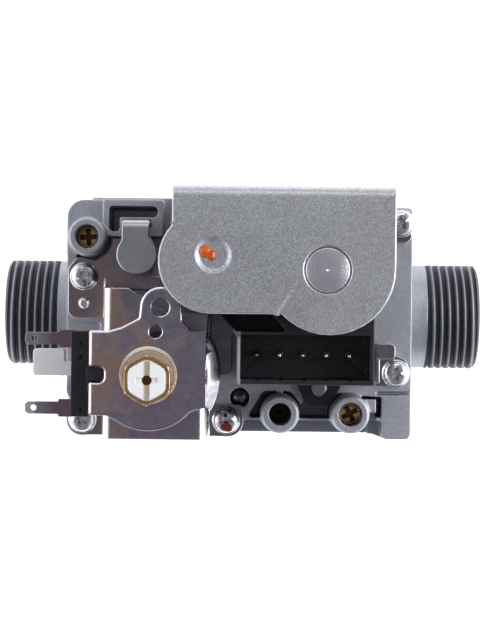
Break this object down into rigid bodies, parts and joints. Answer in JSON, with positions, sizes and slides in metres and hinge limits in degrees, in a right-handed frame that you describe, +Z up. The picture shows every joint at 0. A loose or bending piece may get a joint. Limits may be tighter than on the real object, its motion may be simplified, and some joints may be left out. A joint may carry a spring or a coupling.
{
  "type": "gas valve",
  "caption": "Boiler gas valve with threaded inlet and outlet, solenoid shut-offs under a steel cover, a pressure modulator and test points.",
  "frame": {"origin": "centre of the bounding box's bottom face", "axes": "+X from the outlet to the inlet along the gas way, +Y to the back where the cover is bent down, +Z up from the base towards the coils"},
  "size_m": [0.112, 0.0564, 0.0753],
  "materials": {
    "cast_alloy": "sand-blasted die-cast alloy",
    "base_alloy": "die-cast, matt",
    "gasket_rubber": "smooth black nitrile",
    "zinc_steel": "zinc plated, faint purple and brown film",
    "zinc_screws": "bright zinc plate",
    "stainless": "turned",
    "soft_iron": "turned soft-magnetic steel",
    "spring_steel": "drawn wire",
    "copper_wire": "enamelled copper winding",
    "cover_steel": "bead-blasted plated steel",
    "black_nylon": "glass-filled, fine texture",
    "white_nylon": "translucent white",
    "tinned_pins": "tinned",
    "brass": "machined",
    "seal_orange": "sealing lacquer",
    "seal_red": "sealing lacquer",
    "filter_mesh": "fine woven mesh",
    "sintered_bronze": "sintered"
  },
  "bodies": {
    "valve_body": {"body_casting": "cast_alloy", "base_cover": "base_alloy", "base_gasket": "gasket_rubber", "base_screws": "zinc_screws", "inlet_filter": "filter_mesh", "ev1_guide_tube": "stainless", "ev1_spring": "spring_steel", "ev1_winding": "copper_wire", "ev1_flange_seal": "gasket_rubber", "ev2_guide_tube": "stainless", "ev2_spring": "spring_steel", "ev2_winding": "copper_wire", "ev2_flange_seal": "gasket_rubber", "coil_base_plate": "zinc_steel", "coil_housing": "black_nylon", "coil_cover": "cover_steel", "cover_seal_paint": "seal_orange", "connector_pins": "tinned_pins", "connector_rivet": "zinc_screws", "earth_tab": "zinc_steel", "earth_screw": "zinc_screws", "corner_screw": "zinc_screws", "main_diaphragm": "gasket_rubber", "main_valve_spring": "spring_steel", "modulator_bracket": "zinc_steel", "bracket_screws": "zinc_screws", "screw_seal_paint": "seal_red", "bracket_locating_pin": "zinc_screws", "regulator_bonnet": "base_alloy", "regulator_diaphragm": "gasket_rubber", "modulator_bobbin": "black_nylon", "modulator_winding": "copper_wire", "modulator_yoke": "zinc_steel", "modulator_core_tube": "brass", "modulator_spring": "spring_steel", "terminal_upper": "tinned_pins", "terminal_lower": "tinned_pins", "connector_key": "white_nylon", "vent_restrictor": "sintered_bronze", "passage_ball": "stainless", "pilot_plug": "gasket_rubber", "pilot_plug_guard": "cover_steel"},
    "ev1_armature": {"ev1_plunger": "soft_iron", "ev1_valve_disc": "gasket_rubber"},
    "ev2_armature": {"ev2_plunger": "soft_iron", "ev2_valve_disc": "gasket_rubber"},
    "main_valve": {"main_valve": "soft_iron"},
    "modulator_armature": {"modulator_plunger": "soft_iron"},
    "adjuster_seat": {"adjuster_spring_seat": "stainless"},
    "max_adjuster": {"max_adjuster_nut": "brass"},
    "min_adjuster": {"min_adjuster": "white_nylon"},
    "outlet_tap_ring": {"outlet_tap_seal": "gasket_rubber"},
    "outlet_tap": {"outlet_tap_screw": "brass"},
    "inlet_tap_ring": {"inlet_tap_seal": "gasket_rubber"},
    "inlet_tap": {"inlet_tap_screw": "brass"}
  },
  "joints": [
    {"name": "ev1_lift", "type": "slide", "parent": "valve_body", "child": "ev1_armature", "axis": [0, 0, 1], "range_m": [0, 0.002], "stiffness_N_per_m": 300, "springref_m": -0.004, "deforming": ["ev1_spring"]},
    {"name": "ev2_lift", "type": "slide", "parent": "valve_body", "child": "ev2_armature", "axis": [0, 0, 1], "range_m": [0, 0.002], "stiffness_N_per_m": 200, "springref_m": -0.004, "deforming": ["ev2_spring"]},
    {"name": "main_valve_lift", "type": "slide", "parent": "valve_body", "child": "main_valve", "axis": [0, 0, 1], "range_m": [0, 0.0025], "stiffness_N_per_m": 200, "springref_m": -0.003, "deforming": ["main_valve_spring", "main_diaphragm"]},
    {"name": "modulator_travel", "type": "slide", "parent": "valve_body", "child": "modulator_armature", "axis": [0, 0, 1], "range_m": [0, 0.0012], "stiffness_N_per_m": 250, "springref_m": -0.002, "deforming": ["modulator_spring", "regulator_diaphragm"]},
    {"name": "max_adjuster_travel", "type": "slide", "parent": "valve_body", "child": "adjuster_seat", "axis": [0, 0, 1], "range_m": [0, 0.001]},
    {"name": "max_adjuster_turn", "type": "hinge", "parent": "adjuster_seat", "child": "max_adjuster", "pos_m": [-0.0205, -0.014, 0.068], "axis": [0, 0, 1], "range_deg": [0, 360]},
    {"name": "min_adjuster_turn", "type": "hinge", "parent": "max_adjuster", "child": "min_adjuster", "pos_m": [-0.0205, -0.014, 0.07], "axis": [0, 0, 1], "range_deg": [-90, 90]},
    {"name": "outlet_tap_travel", "type": "slide", "parent": "valve_body", "child": "outlet_tap_ring", "axis": [0, 0, 1], "range_m": [0, 0.000799]},
    {"name": "outlet_tap_turn", "type": "hinge", "parent": "outlet_tap_ring", "child": "outlet_tap", "pos_m": [-0.0359, 0.018, 0.036], "axis": [0, 0, 1], "range_deg": [0, 360]},
    {"name": "inlet_tap_travel", "type": "slide", "parent": "valve_body", "child": "inlet_tap_ring", "axis": [0, 0, 1], "range_m": [0, 0.000799]},
    {"name": "inlet_tap_turn", "type": "hinge", "parent": "inlet_tap_ring", "child": "inlet_tap", "pos_m": [0.0251, -0.0222, 0.036], "axis": [0, 0, 1], "range_deg": [0, 360]}
  ],
  "couplings": [
    {"joint": "max_adjuster_turn", "follows": "max_adjuster_travel", "rad_per_m": 6283.2},
    {"joint": "outlet_tap_turn", "follows": "outlet_tap_travel", "rad_per_m": 7854},
    {"joint": "inlet_tap_turn", "follows": "inlet_tap_travel", "rad_per_m": 7854}
  ]
}
